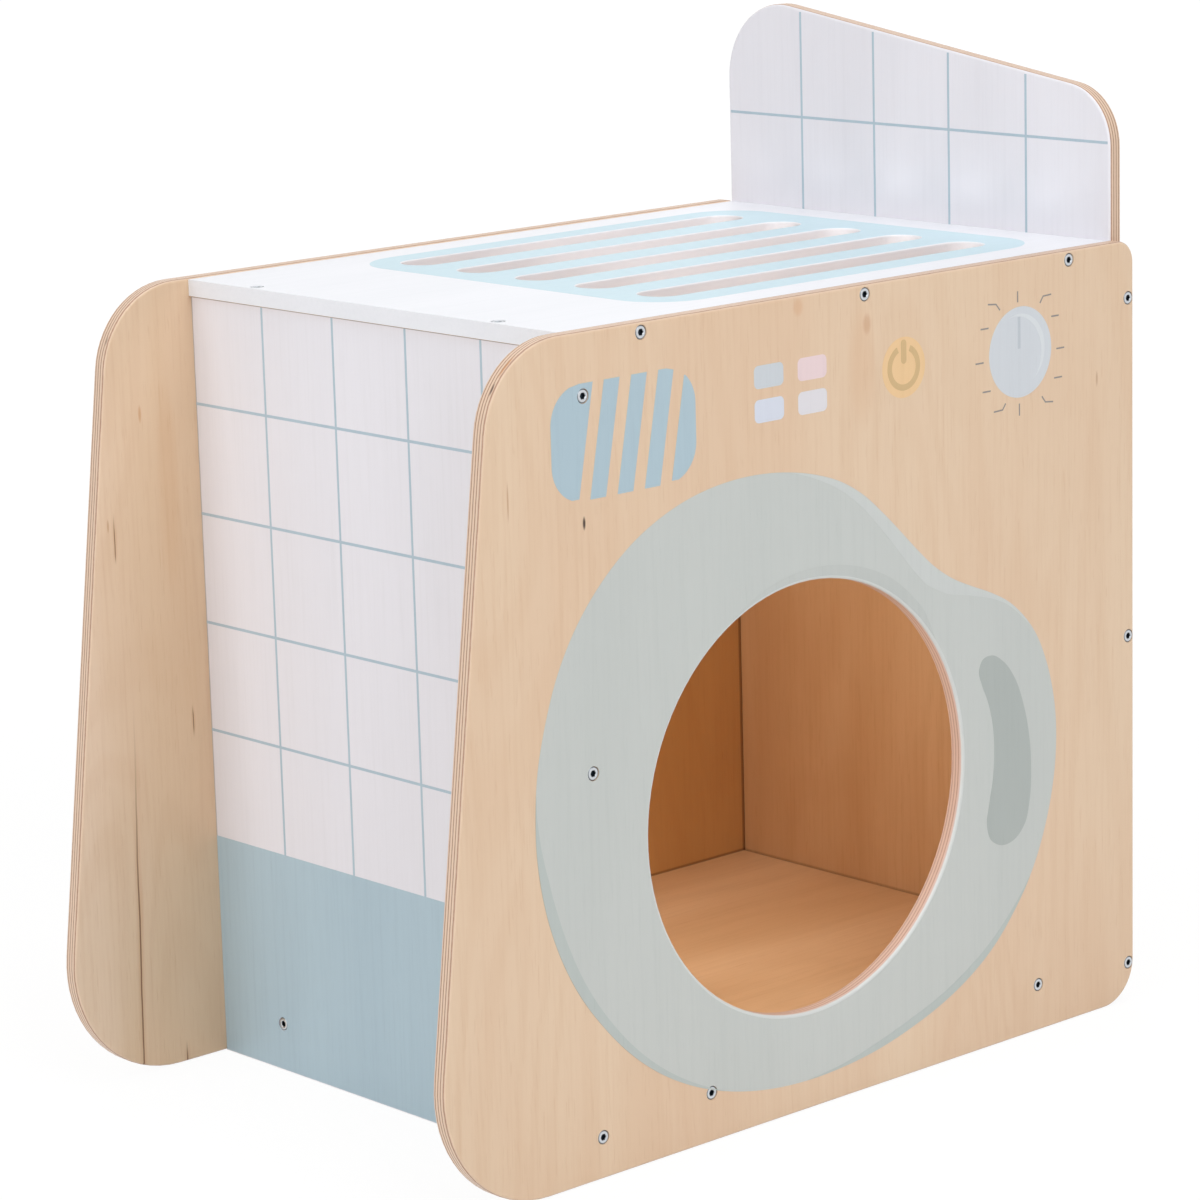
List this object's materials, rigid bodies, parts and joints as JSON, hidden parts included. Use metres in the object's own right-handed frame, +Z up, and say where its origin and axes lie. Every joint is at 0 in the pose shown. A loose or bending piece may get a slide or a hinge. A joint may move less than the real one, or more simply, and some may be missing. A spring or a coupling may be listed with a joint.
{
  "type": "toy washing machine",
  "caption": "Free-standing wooden play washing machine: plywood cabinet with a round open door, slotted top and raised splashback.",
  "frame": {"origin": "middle of the footprint, on the ground", "axes": "+Z up, -Y is the front with the round opening, +X to the right seen from the front"},
  "size_m": [0.6862, 0.424, 0.7396],
  "materials": {
    "birch_ply": "clear satin lacquer on birch plywood, with printed colour areas on the front",
    "printed_ply": "white printed birch plywood with a pale blue tile grid, bare birch on the inner faces",
    "zinc_screw": "bright zinc plated"
  },
  "bodies": {
    "root": {"front_panel": "birch_ply", "rear_panel": "birch_ply", "floor_panel": "birch_ply", "left_side_panel": "printed_ply", "right_side_panel": "printed_ply", "top_panel": "printed_ply", "front_top_screws": "zinc_screw", "front_left_screws": "zinc_screw", "front_right_screws": "zinc_screw", "front_floor_screws": "zinc_screw", "rear_top_screws": "zinc_screw", "rear_left_screws": "zinc_screw", "rear_right_screws": "zinc_screw", "rear_floor_screws": "zinc_screw", "top_left_screws": "zinc_screw", "left_floor_screws": "zinc_screw", "right_floor_screws": "zinc_screw", "right_top_screws": "zinc_screw"}
  },
  "joints": []
}
